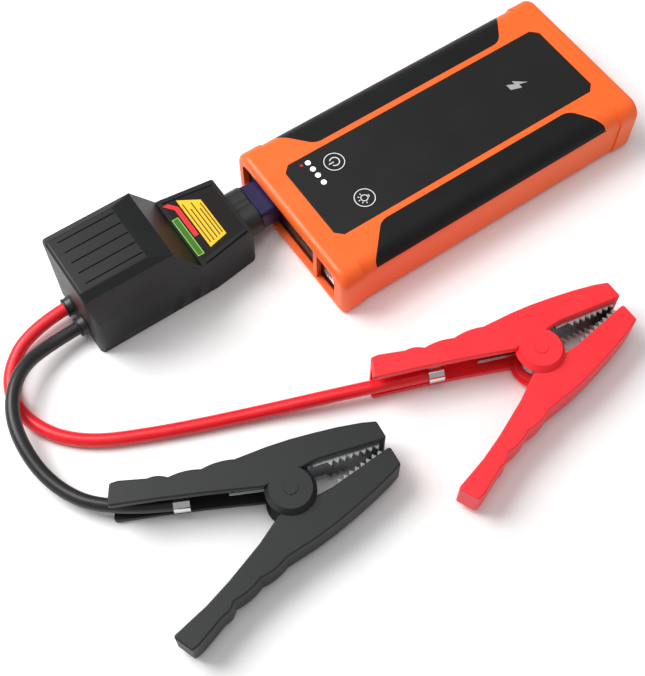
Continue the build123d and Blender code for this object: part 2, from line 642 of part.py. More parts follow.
# ---- clamps, drawn with the pivot at the origin and the jaws along +X ----
def clamp_pieces(colour):
    """The seven pieces of one clamp, in place on its stretch of floor."""
    pivot_x, pivot_y, turn = clamp_spots[colour]
    floor = Plane(origin=(pivot_x, pivot_y, 0), z_dir=(0, 0, 1),
                  x_dir=(cos(radians(turn)), sin(radians(turn)), 0))
    top = arm_thickness
    low_cheek, high_cheek = ear_thickness, top - ear_thickness
    lever_low, lever_high = lever_inset, top - lever_inset
    inner_low, inner_high = lever_low + lever_cheek, lever_high - lever_cheek

    with BuildPart() as cable_arm:
        with BuildSketch(floor):
            with BuildLine():
                Polyline((-14.5, 22.6), (0, 21), (10, 19.3), (20, 17), (30, 14.4), (40, 11.2), (46, 8.6),
                         (46, -0.3), (15.5, 5.6), (-9.5, 5.6), (-30, 14.3), (-50, 22.2), (-69.6, 29.4),
                         (-64.6, 38.2), (-61, 37.6), (-50, 32.6))
                for start, end in finger_waves(((-50, 32.6), (-42.3, 28.9), (-28.6, 25.4), (-14.5, 22.6))):
                    ThreePointArc(start, wave_crest(start, end), end)
            make_face()
        extrude(amount=top)
        fillet(cable_arm.edges().filter_by(Axis.Z), arm_corner_radius)
        fillet(cable_arm.faces().filter_by(Axis.Z).edges(), arm_edge_radius)
        with BuildSketch(floor.offset(low_cheek)):
            Polygon((43, -4), (43, 6.2), (30, 11.2), (10, 16.2), (-10, 19.4), (-28, 22.4), (-42, 25.8),
                    (-72, 38.0), (-80, 20), (-20, -4), align=None)
            Circle(hub_radius + 2.9)
        extrude(amount=high_cheek - low_cheek, mode=Mode.SUBTRACT)
        for base, root, tip in ((0, ear_top_radius, ear_root_radius), (high_cheek, ear_root_radius,
                                                                     ear_top_radius)):
            with BuildSketch(floor.offset(base)):
                Circle(root)
            with BuildSketch(floor.offset(base + ear_thickness)):
                Circle(tip)
            loft()
        with BuildSketch(floor):
            Circle(pin_r + 0.05)
        extrude(amount=top, mode=Mode.SUBTRACT)
        with BuildSketch(floor.offset(-1)):
            Circle(pin_head_r + 0.1)
        extrude(amount=1.9, mode=Mode.SUBTRACT)
        with BuildSketch(floor.offset(top - 0.9)):
            Circle(pin_head_r + 0.1)
        extrude(amount=2, mode=Mode.SUBTRACT)
    save(cable_arm.part, colour + "_cable_arm")

    with BuildPart() as lever_arm:
        with BuildSketch(floor.offset(lever_low)):
            with BuildLine():
                Polyline((-15.0, -24.4), (0, -23.2), (10, -21.7), (20, -19.6), (30, -17.2), (40, -14.4),
                         (46, -12.2), (46, -3.0), (15.5, -7.0), (-9.5, -7.0), (-22, -13.8), (-40, -21.6),
                         (-52, -26), (-69.0, -30.6), (-64.8, -39.4), (-61, -38.6), (-48, -33.2))
                lever_troughs = ((-48, -33.2), (-41.6, -29.8), (-28.0, -26.8), (-15.0, -24.4))
                for start, end in finger_waves(lever_troughs):
                    ThreePointArc(start, wave_crest(start, end), end)
            make_face()
            Circle(hub_radius)
        extrude(amount=lever_high - lever_low)
        fillet(lever_arm.edges().filter_by(Axis.Z), arm_corner_radius)
        fillet(lever_arm.faces().filter_by(Axis.Z).edges(), arm_edge_radius)
        with BuildSketch(floor.offset(inner_low)):
            Polygon((43, 0), (43, -9.6), (30, -13.8), (10, -18.6), (-12, -21.2), (-28, -23.6), (-42, -26.8),
                    (-60, -33.8), (-72, -20), (-12, 0), align=None)
            Circle(hub_radius + 1)
        extrude(amount=inner_high - inner_low, mode=Mode.SUBTRACT)
        with BuildSketch(floor.offset(lever_low)):
            Circle(pin_r + 0.08)
        extrude(amount=top, mode=Mode.SUBTRACT)
    save(lever_arm.part, colour + "_lever_arm")

    with BuildPart() as cable_jaw:
        with BuildSketch(floor.offset(low_cheek + 0.15)):
            with BuildLine():
                Polyline((13, 4.6), (13, 15.2), (30, 10.9), (42.7, 6.0), (42.7, 0.2))
                Polyline(*tooth_line((42.7, 0.2), (13, 4.6)))
            make_face()
        extrude(amount=high_cheek - low_cheek - 0.3)
        with BuildSketch(floor.offset(low_cheek + 0.15 + jaw_sheet)):
            Polygon((11, -6), (11, 14.4), (30, 9.6), (41.4, 5.2), (41.4, -6), align=None)
        extrude(amount=high_cheek - low_cheek - 0.3 - 2 * jaw_sheet, mode=Mode.SUBTRACT)
        with BuildSketch(floor.offset(tail_low)):
            Polygon((13.2, 15.1), (13.2, 14.0), (-12, 17.2), (-28, 20.2), (-43, 23.8), (-43, 25.0),
                    (-28, 21.6), (-12, 18.6), align=None)
        extrude(amount=tail_high - tail_low)
    save(cable_jaw.part, colour + "_cable_jaw")

    with BuildPart() as lever_jaw:
        with BuildSketch(floor.offset(inner_low + 0.15)):
            with BuildLine():
                Polyline((13, -7.4), (13, -17.4), (30, -13.4), (42.7, -9.3), (42.7, -3.2))
                Polyline(*tooth_line((42.7, -3.2), (13, -7.4), -1))
            make_face()
        extrude(amount=inner_high - inner_low - 0.3)
        with BuildSketch(floor.offset(inner_low + 0.15 + jaw_sheet)):
            Polygon((11, 4), (11, -16.6), (30, -12.2), (41.4, -8.4), (41.4, 4), align=None)
        extrude(amount=inner_high - inner_low - 0.3 - 2 * jaw_sheet, mode=Mode.SUBTRACT)
    save(lever_jaw.part, colour + "_lever_jaw")

    with BuildPart() as pivot_pin:
        for base, radius, tall in ((0.25, pin_head_r, 0.6), (0.85, pin_r, top - 1.7),
                                   (top - 0.85, pin_head_r, 1.15)):
            with BuildSketch(floor.offset(base)):
                Circle(radius)
            extrude(amount=tall)
    save(pivot_pin.part, colour + "_pivot_pin")

    with BuildPart() as torsion_spring:
        for turn_number in range(4):
            with BuildSketch(Plane(origin=floor.origin, x_dir=floor.x_dir, z_dir=floor.y_dir)):
                with Locations((spring_radius, -spring_low - 1.9 * turn_number)):
                    Circle(spring_wire)
            revolve(axis=Axis(floor.origin, (0, 0, 1)))
        for height, reach, rise in ((spring_low, -22, 8.6), (spring_low + 5.7, -22, -11.4)):
            side = 1 if rise > 0 else -1
            wire_start = floor.from_local_coords((0, side * spring_radius, height))
            wire_end = floor.from_local_coords((reach, side * spring_radius + rise, height))
            with BuildSketch(Plane(origin=wire_start, z_dir=wire_end - wire_start)):
                Circle(spring_wire * 0.98)
            extrude(amount=(wire_end - wire_start).length)
    save(torsion_spring.part, colour + "_torsion_spring")

    cable_end = Vector(*routes[colour][-1])
    cable_way = (cable_end - Vector(*routes[colour][-2])).normalized()

    with BuildPart() as crimp_clip:
        with BuildSketch(Plane(origin=cable_end - cable_way * crimp_length, z_dir=cable_way)):
            Circle(cable_radius + 1.0)
            Circle(cable_radius + 0.05, mode=Mode.SUBTRACT)
        extrude(amount=crimp_length)
    save(crimp_clip.part, colour + "_crimp_clip")


for colour in clamp_spots:
    clamp_pieces(colour)
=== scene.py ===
import bpy
import bmesh
from math import cos, pi, radians, sin
from mathutils import Matrix, Vector


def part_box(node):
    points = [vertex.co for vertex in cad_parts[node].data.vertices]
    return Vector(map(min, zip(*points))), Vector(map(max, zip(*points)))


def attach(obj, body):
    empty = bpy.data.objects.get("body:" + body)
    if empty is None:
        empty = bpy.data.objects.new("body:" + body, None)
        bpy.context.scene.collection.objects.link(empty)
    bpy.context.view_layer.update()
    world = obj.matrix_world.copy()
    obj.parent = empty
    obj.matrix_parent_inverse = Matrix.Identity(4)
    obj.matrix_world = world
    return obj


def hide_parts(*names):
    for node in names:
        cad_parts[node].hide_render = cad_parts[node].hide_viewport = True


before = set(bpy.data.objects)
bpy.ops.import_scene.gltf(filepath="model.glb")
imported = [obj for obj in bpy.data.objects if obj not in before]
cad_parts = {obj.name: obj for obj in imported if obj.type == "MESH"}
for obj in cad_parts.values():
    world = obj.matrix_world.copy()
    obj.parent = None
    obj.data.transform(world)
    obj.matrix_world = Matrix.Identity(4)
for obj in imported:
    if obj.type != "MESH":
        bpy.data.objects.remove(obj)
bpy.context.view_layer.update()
scene = bpy.context.scene
MM = 0.001


# ---------------------------------------------------------------------------------------------
# Camera and light. The pack lies on white paper in a bright room, seen from high on its left.
# One wide softbox stands behind it on the left, and a weak one hangs overhead.
camera_data = bpy.data.cameras.new("camera")
camera_data.lens = 60.96
camera = bpy.data.objects.new("camera", camera_data)
camera.location = Vector((-241.9, -251.8, 467.7)) * MM
camera.rotation_euler = (radians(27.73), 0, radians(-34.43))
scene.collection.objects.link(camera)
scene.camera = camera
scene.view_settings.view_transform = "Standard"


def softbox(name, place, aim, width, power):
    """A square area light at place, facing aim, both in millimetres."""
    light = bpy.data.lights.new(name, "AREA")
    light.size = width * MM
    light.energy = power
    lamp = bpy.data.objects.new(name, light)
    lamp.location = Vector(place) * MM
    lamp.rotation_euler = (Vector(aim) - Vector(place)).to_track_quat("-Z", "Y").to_euler()
    scene.collection.objects.link(lamp)


softbox("back_left_softbox", (-480, 470, 820), (-60, -30, 0), 620, 11.5)
softbox("overhead_fill", (-100, -80, 1300), (-60, -40, 0), 500, 2.5)
world = bpy.data.worlds.new("bright_room")
scene.world = world
world.use_nodes = True
world.node_tree.nodes["Background"].inputs["Color"].default_value = (1, 1, 1, 1)
world.node_tree.nodes["Background"].inputs["Strength"].default_value = 0.42


# ---------------------------------------------------------------------------------------------
# Floor: seamless white paper, rolled out flat under everything.
# Uncoated paper scatters all light evenly, and its fibres give it a very faint tooth.
def srgb(code):
    """An sRGB hex colour as linear RGBA."""
    values = [int(code[i:i + 2], 16) / 255 for i in (1, 3, 5)]
    return tuple(v / 12.92 if v <= 0.04045 else ((v + 0.055) / 1.055) ** 2.4 for v in values) + (1.0,)


def add_node(tree, kind, inputs=(), **settings):
    """A node of that kind with its settings; inputs are set, or linked where given a socket."""
    node = tree.nodes.new(kind)
    for name, value in settings.items():
        setattr(node, name, value)
    for name, value in dict(inputs).items():
        if isinstance(value, bpy.types.NodeSocket):
            tree.links.new(value, node.inputs[name])
        else:
            node.inputs[name].default_value = value
    return node


def new_material(name):
    """An empty material: itself, its tree, its Principled shader and the object-coordinate socket."""
    material = bpy.data.materials.new(name)
    material.use_nodes = True
    tree = material.node_tree
    place = add_node(tree, "ShaderNodeTexCoord").outputs["Object"]
    return material, tree, tree.nodes["Principled BSDF"], place


paper, paper_tree, paper_shader, paper_place = new_material("uncoated_white_paper")
fibre = add_node(paper_tree, "ShaderNodeTexNoise", {"Vector": paper_place, "Scale": 900.0, "Detail": 3.0})
paper_tooth = add_node(paper_tree, "ShaderNodeBump", {"Height": fibre.outputs["Fac"], "Strength": 0.05,
                                                      "Distance": 0.1 * MM})
paper_tree.links.new(paper_tooth.outputs[0], paper_shader.inputs["Normal"])
paper_shader.inputs["Base Color"].default_value = srgb("#F7F7F7")
paper_shader.inputs["Roughness"].default_value = 0.9
floor_mesh = bpy.data.meshes.new("floor")
reach, floor_z = 6, -0.0002
floor_mesh.from_pydata([(-reach, -reach, floor_z), (reach, -reach, floor_z), (reach, reach, floor_z),
                        (-reach, reach, floor_z)], [], [(0, 1, 2, 3)])
floor_mesh.materials.append(paper)
floor = bpy.data.objects.new("floor", floor_mesh)
scene.collection.objects.link(floor)


# ---------------------------------------------------------------------------------------------
# Cable boots: two short grommets of black PVC, moulded round the cables where they leave the box.
# Each is a tapered sleeve with two ribs, soft and a little shiny.
def moulded_plastic(name, colour, shade, roughness, grain_mm, depth, shine=0.5):
    """Injection-moulded plastic: tool grain, faint clouding of the colour, and shinier rubbed patches.
    A coarse or painted grain traps light, so its shine is below the usual 0.5."""
    material, tree, shader, place = new_material(name)
    cloud = add_node(tree, "ShaderNodeTexNoise", {"Vector": place, "Scale": 45.0, "Detail": 4.0})
    mix = add_node(tree, "ShaderNodeMix", {"Factor": cloud.outputs["Fac"], 6: srgb(shade), 7: srgb(colour)},
                   data_type="RGBA")
    tree.links.new(mix.outputs[2], shader.inputs["Base Color"])
    rub = add_node(tree, "ShaderNodeMapRange", {"Value": cloud.outputs["Fac"], "From Min": 0.3, "From Max": 0.7,
                                                "To Min": roughness - 0.05, "To Max": roughness + 0.06})
    tree.links.new(rub.outputs[0], shader.inputs["Roughness"])
    grain = add_node(tree, "ShaderNodeTexNoise", {"Vector": place, "Scale": 1000 / grain_mm, "Detail": 2.0})
    bump = add_node(tree, "ShaderNodeBump", {"Height": grain.outputs["Fac"], "Strength": depth,
                                             "Distance": 0.1 * MM})
    tree.links.new(bump.outputs[0], shader.inputs["Normal"])
    shader.inputs["IOR"].default_value = 1.52
    shader.inputs["Specular IOR Level"].default_value = shine
    return material


def new_piece(name, mesh, material, body):
    """A finished mesh, as a piece of that body."""
    mesh.materials.clear()
    mesh.materials.append(material)
    piece = bpy.data.objects.new(name, mesh)
    scene.collection.objects.link(piece)
    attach(piece, body)
    return piece


def new_geometry_tree(name, inputs):
    """An empty geometry tree with those inputs: itself, its input sockets by name, and its output."""
    tree = bpy.data.node_groups.new(name, "GeometryNodeTree")
    for label, kind in inputs:
        tree.interface.new_socket(label, in_out="INPUT", socket_type=kind)
    tree.interface.new_socket("Geometry", in_out="OUTPUT", socket_type="NodeSocketGeometry")
    entry = tree.nodes.new("NodeGroupInput")
    return tree, {o.name: o for o in entry.outputs if o.name}, tree.nodes.new("NodeGroupOutput")


def end_geometry_tree(tree, last, inputs, output):
    """Makes the instances real, sets the material and gives the result out."""
    real = add_node(tree, "GeometryNodeRealizeInstances", {0: last.outputs[0]})
    coated = add_node(tree, "GeometryNodeSetMaterial", {"Geometry": real.outputs[0],
                                                        "Material": inputs["Material"]})
    tree.links.new(coated.outputs[0], output.inputs[0])


def grown_mesh(name, tree, values):
    """The plain mesh that a geometry tree makes with those input values."""
    seed = bpy.data.objects.new(name, bpy.data.meshes.new(name))
    scene.collection.objects.link(seed)
    modifier = seed.modifiers.new("grow", "NODES")
    modifier.node_group = tree
    for item in tree.interface.items_tree:
        if item.in_out == "INPUT":
            modifier[item.identifier] = values[item.name]
    mesh = bpy.data.meshes.new_from_object(seed.evaluated_get(bpy.context.evaluated_depsgraph_get()))
    bpy.data.objects.remove(seed)
    return mesh


def joined(name, meshes):
    """Several meshes as one."""
    whole = bmesh.new()
    for mesh in meshes:
        whole.from_mesh(mesh)
    result = bpy.data.meshes.new(name)
    whole.to_mesh(result)
    whole.free()
    return result


cable_exits = {"red": (27.7, 7.0), "black": (15.5, 7.0)}
boot_root_x, boot_root_radius, boot_tip_radius, boot_length = -190.3, 4.9, 4.2, 3.6
rib_radius, boot_ribs = 0.62, 2
neck_rubber = moulded_plastic("overmoulded_black_pvc", "#1C1C1D", "#171718", 0.42, 0.4, 0.06)
boot_tree, boot_in, boot_out = new_geometry_tree("ribbed_boot", (
    ("Root radius", "NodeSocketFloat"), ("Tip radius", "NodeSocketFloat"), ("Length", "NodeSocketFloat"),
    ("Ribs", "NodeSocketInt"), ("Material", "NodeSocketMaterial")))
sleeve = add_node(boot_tree, "GeometryNodeMeshCone", {
    "Vertices": 48, "Radius Top": boot_in["Tip radius"], "Radius Bottom": boot_in["Root radius"],
    "Depth": boot_in["Length"]})
rib_line = add_node(boot_tree, "GeometryNodeMeshLine", {"Count": boot_in["Ribs"], "Start Location": (0, 0, 0)},
                    mode="END_POINTS")
line_end = add_node(boot_tree, "ShaderNodeCombineXYZ", {"Z": boot_in["Length"]})
boot_tree.links.new(line_end.outputs[0], rib_line.inputs["Offset"])
rib_profile = add_node(boot_tree, "GeometryNodeCurvePrimitiveCircle", {"Resolution": 12,
                                                                       "Radius": rib_radius * MM})
rib_circle = add_node(boot_tree, "GeometryNodeCurvePrimitiveCircle", {"Resolution": 48,
                                                                      "Radius": boot_in["Root radius"]})
rib = add_node(boot_tree, "GeometryNodeCurveToMesh", {"Curve": rib_circle.outputs["Curve"],
                                                      "Profile Curve": rib_profile.outputs["Curve"]})
rib_count = add_node(boot_tree, "GeometryNodeInputIndex")
narrowing = add_node(boot_tree, "ShaderNodeMapRange", {
    "Value": rib_count.outputs[0], "From Min": 0.0, "From Max": boot_in["Ribs"], "To Min": 0.93,
    "To Max": 0.76})
ribs = add_node(boot_tree, "GeometryNodeInstanceOnPoints", {
    "Points": rib_line.outputs[0], "Instance": rib.outputs[0], "Scale": narrowing.outputs[0]})
boot_join = add_node(boot_tree, "GeometryNodeJoinGeometry")
boot_tree.links.new(sleeve.outputs["Mesh"], boot_join.inputs[0])
boot_tree.links.new(ribs.outputs[0], boot_join.inputs[0])
end_geometry_tree(boot_tree, boot_join, boot_in, boot_out)
boot_meshes = []
for y, z in cable_exits.values():
    boot = grown_mesh("boot", boot_tree, {
        "Root radius": boot_root_radius * MM, "Tip radius": boot_tip_radius * MM, "Length": boot_length * MM,
        "Ribs": boot_ribs, "Material": neck_rubber})
    boot.transform(Matrix.Translation(Vector((boot_root_x, y, z)) * MM) @ Matrix.Rotation(-pi / 2, 4, "Y"))
    boot_meshes.append(boot)
cable_boots = new_piece("cable_boots", joined("cable_boots", boot_meshes), neck_rubber, "clamp_lead")
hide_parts("cable_grommets")


# ---------------------------------------------------------------------------------------------
# Cables: finely stranded copper in a soft silicone jacket, extruded.
# They leave the control box side by side, cross once on the floor, and end in the clamps' crimps.
def silicone_jacket(name, colour, shade):
    """Extruded silicone: smooth and slightly glossy, with faint long drag marks from the die."""
    material, tree, shader, place = new_material(name)
    drag = add_node(tree, "ShaderNodeTexNoise", {"Vector": place, "Scale": 120.0, "Detail": 5.0})
    mix = add_node(tree, "ShaderNodeMix", {"Factor": drag.outputs["Fac"], 6: srgb(shade), 7: srgb(colour)},
                   data_type="RGBA")
    tree.links.new(mix.outputs[2], shader.inputs["Base Color"])
    gloss = add_node(tree, "ShaderNodeMapRange", {"Value": drag.outputs["Fac"], "To Min": 0.26, "To Max": 0.46})
    tree.links.new(gloss.outputs[0], shader.inputs["Roughness"])
    bump = add_node(tree, "ShaderNodeBump", {"Height": drag.outputs["Fac"], "Strength": 0.15,
                                             "Distance": 0.1 * MM})
    tree.links.new(bump.outputs[0], shader.inputs["Normal"])
    shader.inputs["IOR"].default_value = 1.43
    return material


cable_radius = 3.15
cable_routes = {
    "red": [(-186, 27.7, 7), (-212, 27.7, 7), (-233, 13.5, 3.3), (-236.5, -9, 3.2), (-222, -33, 3.2),
            (-188, -49.8, 3.3), (-147, -66.0, 3.8), (-119, -78.0, 7.4), (-70.8, -96.9, 8.5)],
    "black": [(-186, 15.5, 7), (-206, 15.5, 7), (-228, 8.5, 12.8), (-242, -13, 12.8), (-241.5, -45, 7.8),
              (-225.2, -70.6, 8.3), (-195.5, -85.5, 8.5)],
}
jackets = {
    "red": silicone_jacket("red_silicone_jacket", "#F4212E", "#DE1522"),
    "black": silicone_jacket("black_silicone_jacket", "#2A2A2B", "#1D1D1E"),
}
for colour, route in cable_routes.items():
    curve = bpy.data.curves.new(colour + "_lead", "CURVE")
    curve.dimensions = "3D"
    curve.bevel_depth = cable_radius * MM
    curve.bevel_resolution = 8
    curve.resolution_u = 24
    curve.use_fill_caps = True
    spline = curve.splines.new("NURBS")
    spline.points.add(len(route) - 1)
    for point, spot in zip(spline.points, route):
        point.co = (*(Vector(spot) * MM), 1)
    spline.order_u = 3
    spline.use_endpoint_u = True
    curve.materials.append(jackets[colour])
    lead = bpy.data.objects.new(colour + "_lead", curve)
    scene.collection.objects.link(lead)
    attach(lead, "clamp_lead")
    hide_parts(colour + "_cable")


# ---------------------------------------------------------------------------------------------
# Power bank shells: two halves moulded in orange ABS from a spark-eroded tool, screwed together.
# The fine grain keeps the highlights broad; handling has polished it a little in patches.
def finish(material, *nodes):
    """CAD pieces that keep their shape and take this finish."""
    for node in nodes:
        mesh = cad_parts[node].data
        mesh.materials.clear()
        mesh.materials.append(material)


orange_abs = moulded_plastic("orange_moulded_abs", "#FF6B22", "#FB6118", 0.44, 0.35, 0.10)
finish(orange_abs, "lower_shell", "upper_shell")


# ---------------------------------------------------------------------------------------------
# Side grips: two inlays of black ABS sprayed with soft-touch paint, snapped into the top shell.
# The paint is velvety: almost no sharp shine, and a soft pale sheen on the slopes.
soft_touch = moulded_plastic("soft_touch_paint", "#101112", "#0C0D0E", 0.5, 0.3, 0.07, 0.22)
soft_touch.node_tree.nodes["Principled BSDF"].inputs["Sheen Weight"].default_value = 0.03
soft_touch.node_tree.nodes["Principled BSDF"].inputs["Sheen Roughness"].default_value = 0.5
finish(soft_touch, "side_grip_front", "side_grip_back")


# ---------------------------------------------------------------------------------------------
# Top panel: a flat satin black PC/ABS plate, set into the shell, with a small printed bolt mark.
# The print is pale grey ink, a few hundredths of a millimetre thick.
def stroke(points, width):
    """The outline of an open line of that width, mitred at its corners."""
    points = [Vector(p) for p in points]
    left, right = [], []
    for i, p in enumerate(points):
        before = (p - points[i - 1]).normalized() if i else (points[1] - p).normalized()
        after = (points[i + 1] - p).normalized() if i + 1 < len(points) else before
        across = Vector((-(before + after).y, (before + after).x)).normalized()
        reach = width / 2 / max(0.4, across.dot(Vector((-before.y, before.x))))
        left.append(p + across * reach)
        right.append(p - across * reach)
    return left + right[::-1]


def arc(centre, radius, start, end, count=32):
    """Points along an arc, in degrees."""
    angles = [radians(start + (end - start) * i / count) for i in range(count + 1)]
    return [(centre[0] + radius * cos(a), centre[1] + radius * sin(a)) for a in angles]


def plates(name, outlines, low, high):
    """Thin plates from low to high millimetres. An outline is one loop, or an outer and an inner one."""
    shape = bmesh.new()
    for outline in outlines:
        loops = outline if isinstance(outline, tuple) else (outline,)
        rims = []
        for loop in loops:
            rims.append([[shape.verts.new((p[0] * MM, p[1] * MM, z * MM)) for p in loop] for z in (low, high)])
        for lower, upper in rims:
            for i in range(len(lower)):
                j = (i + 1) % len(lower)
                shape.faces.new((lower[i], lower[j], upper[j], upper[i]))
        for level in (0, 1):
            if len(rims) == 1:
                shape.faces.new(rims[0][level])
            else:
                outer, inner = rims[0][level], rims[1][level]
                for i in range(len(outer)):
                    j = (i + 1) % len(outer)
                    shape.faces.new((outer[i], outer[j], inner[j], inner[i]))
    bmesh.ops.recalc_face_normals(shape, faces=shape.faces)
    mesh = bpy.data.meshes.new(name)
    shape.to_mesh(mesh)
    shape.free()
    return mesh


def printing_ink(name, colour, roughness=0.35):
    """Screen-printed ink: an even, slightly raised film with a faint mesh pattern in it."""
    material, tree, shader, place = new_material(name)
    mesh_mark = add_node(tree, "ShaderNodeTexNoise", {"Vector": place, "Scale": 2500.0, "Detail": 2.0})
    dark = tuple(c * 0.88 for c in srgb(colour)[:3]) + (1,)
    mix = add_node(tree, "ShaderNodeMix", {"Factor": mesh_mark.outputs["Fac"], 6: dark, 7: srgb(colour)},
                   data_type="RGBA")
    tree.links.new(mix.outputs[2], shader.inputs["Base Color"])
    shader.inputs["Roughness"].default_value = roughness
    shader.inputs["IOR"].default_value = 1.5
    return material


ink_height = 0.05
satin_black = moulded_plastic("satin_black_pc_abs", "#151515", "#121212", 0.5, 0.25, 0.05, 0.3)
grey_ink = printing_ink("pale_grey_ink", "#A9ABAB")
finish(satin_black, "top_panel")
panel_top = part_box("top_panel")[1].z / MM
bolt_outline = [(-1.0, 5.0), (2.6, 5.0), (0.8, 1.2), (3.0, 1.2), (-1.8, -5.2), (-0.4, -0.6), (-2.9, -0.6)]
mark_centre = (46.8, 0.3)
bolt_mark = plates("bolt_mark", [[(mark_centre[0] - v, mark_centre[1] + u) for u, v in bolt_outline]],
                   panel_top - 0.02, panel_top + ink_height)
new_piece("bolt_mark", bolt_mark, grey_ink, "power_bank")


# ---------------------------------------------------------------------------------------------
# Charge lights: five polycarbonate light guides pressed into the panel, over LEDs on the board.
# Four glow white and show the charge; the small one beside them is red and shows a fault.
white_glow, glow_tree, glow_shader, glow_place = new_material("lit_polycarbonate")
glow_cloud = add_node(glow_tree, "ShaderNodeTexNoise", {"Vector": glow_place, "Scale": 900.0})
glow_level = add_node(glow_tree, "ShaderNodeMapRange", {"Value": glow_cloud.outputs["Fac"], "To Min": 0.75,
                                                        "To Max": 1.05})
glow_tree.links.new(glow_level.outputs[0], glow_shader.inputs["Emission Strength"])
glow_shader.inputs["Base Color"].default_value = srgb("#F4F6F6")
glow_shader.inputs["Emission Color"].default_value = srgb("#FFFFFF")
glow_shader.inputs["Roughness"].default_value = 0.25
glow_shader.inputs["IOR"].default_value = 1.58
finish(white_glow, "charge_light_guides")
red_glow = printing_ink("red_light_guide", "#D8202A", 0.2)
guide_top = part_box("charge_light_guides")[1].z / MM
fault_place, fault_radius = (-67.9, 19.6), 0.7
fault_light = plates("fault_light", [arc(fault_place, fault_radius, 0, 354, 59)], guide_top - 0.02,
                     guide_top + ink_height)
new_piece("fault_light", fault_light, red_glow, "power_bank")


# ---------------------------------------------------------------------------------------------
# Buttons: two round keys in the same satin black as the panel, each over a dome switch.
# A printed ring runs round each, with the power sign on one and the lamp sign on the other.
white_ink = printing_ink("white_ink", "#E9EAEA")
ring_inner, ring_outer, sign_line = 4.72, 5.14, 0.5
signs = {
    "power": [stroke(arc((0, -0.2), 2.35, 128, 412), sign_line), stroke([(0, 0.3), (0, 3.0)], sign_line)],
    "light": [stroke(arc((0, 0.2), 1.65, -58, 238), 0.42), stroke([(-0.95, -1.5), (0.95, -1.5)], 0.42),
              stroke([(-0.7, -2.3), (0.7, -2.3)], 0.42)]
             + [stroke([(r * cos(radians(a)), 0.2 + r * sin(radians(a))) for r in (2.3, 3.2)], 0.42)
                for a in (10, 50, 90, 130, 170)],
}
for key, drawing in signs.items():
    node = key + "_button"
    low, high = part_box(node)
    middle = (low + high) / 2 / MM
    circle = (arc((0, 0), ring_outer, 0, 354, 59), arc((0, 0), ring_inner, 0, 354, 59))
    placed = [tuple([(middle.x - v, middle.y + u) for u, v in loop] for loop in circle)]
    placed += [[(middle.x - v, middle.y + u) for u, v in loop] for loop in drawing]
    sign = plates(key + "_sign", placed, high.z / MM - 0.02, high.z / MM + ink_height)
    new_piece(key + "_sign", sign, white_ink, node)
    finish(satin_black, node)


# ---------------------------------------------------------------------------------------------
# Port end: a black ABS insert that carries the clamp socket, two USB sockets and the torch.
# The sockets are bought-in parts: pressed and nickel-plated steel shells round black tongues.
def metal(name, colour, roughness, mark_mm, depth):
    """Bare or plated metal: rolling or tumbling marks of that size, in its shine more than its shape."""
    material, tree, shader, place = new_material(name)
    mark = add_node(tree, "ShaderNodeTexNoise", {"Vector": place, "Scale": 1000 / mark_mm, "Detail": 4.0})
    gloss = add_node(tree, "ShaderNodeMapRange", {
        "Value": mark.outputs["Fac"], "From Min": 0.3, "From Max": 0.7, "To Min": roughness * 0.7,
        "To Max": roughness * 1.4})
    tree.links.new(gloss.outputs[0], shader.inputs["Roughness"])
    bump = add_node(tree, "ShaderNodeBump", {"Height": mark.outputs["Fac"], "Strength": depth,
                                             "Distance": 0.1 * MM})
    tree.links.new(bump.outputs[0], shader.inputs["Normal"])
    shader.inputs["Base Color"].default_value = srgb(colour)
    shader.inputs["Metallic"].default_value = 1.0
    return material


port_black = moulded_plastic("black_moulded_abs", "#161617", "#121213", 0.4, 0.3, 0.08)
blue_nylon = moulded_plastic("dark_blue_nylon", "#150B48", "#10083A", 0.36, 0.3, 0.06)
nickel_plate = metal("nickel_plated_steel", "#C9C7C0", 0.22, 1.5, 0.05)
gold_plate = metal("gold_plated_brass", "#DDB45C", 0.2, 1.0, 0.05)
finish(port_black, "port_panel")
finish(blue_nylon, "clamp_socket")
finish(gold_plate, "socket_contacts", "plug_pins", "busbars")
finish(nickel_plate, "usb_c_socket", "usb_a_socket")


# ---------------------------------------------------------------------------------------------
# Torch: a white LED on its own board, in a metallised cup behind a clear moulded lens.
# The lens is polished polycarbonate, so the bright cup shows through it.
clear_pc, clear_tree, clear_shader, clear_place = new_material("clear_polycarbonate")
moulding_flow = add_node(clear_tree, "ShaderNodeTexNoise", {"Vector": clear_place, "Scale": 150.0})
flow_bump = add_node(clear_tree, "ShaderNodeBump", {"Height": moulding_flow.outputs["Fac"], "Strength": 0.08,
                                                    "Distance": 0.1 * MM})
clear_tree.links.new(flow_bump.outputs[0], clear_shader.inputs["Normal"])
clear_shader.inputs["Base Color"].default_value = srgb("#F2F6F7")
clear_shader.inputs["Roughness"].default_value = 0.06
clear_shader.inputs["IOR"].default_value = 1.58
clear_shader.inputs["Transmission Weight"].default_value = 0.9
mirror_metal = metal("vacuum_metallised_cup", "#8E9193", 0.2, 2.0, 0.02)
board_green = moulded_plastic("green_solder_mask", "#11552B", "#0D4823", 0.3, 1.2, 0.1)
finish(clear_pc, "torch_lens")
finish(mirror_metal, "torch_reflector")
finish(board_green, "torch_board", "main_board", "control_board")


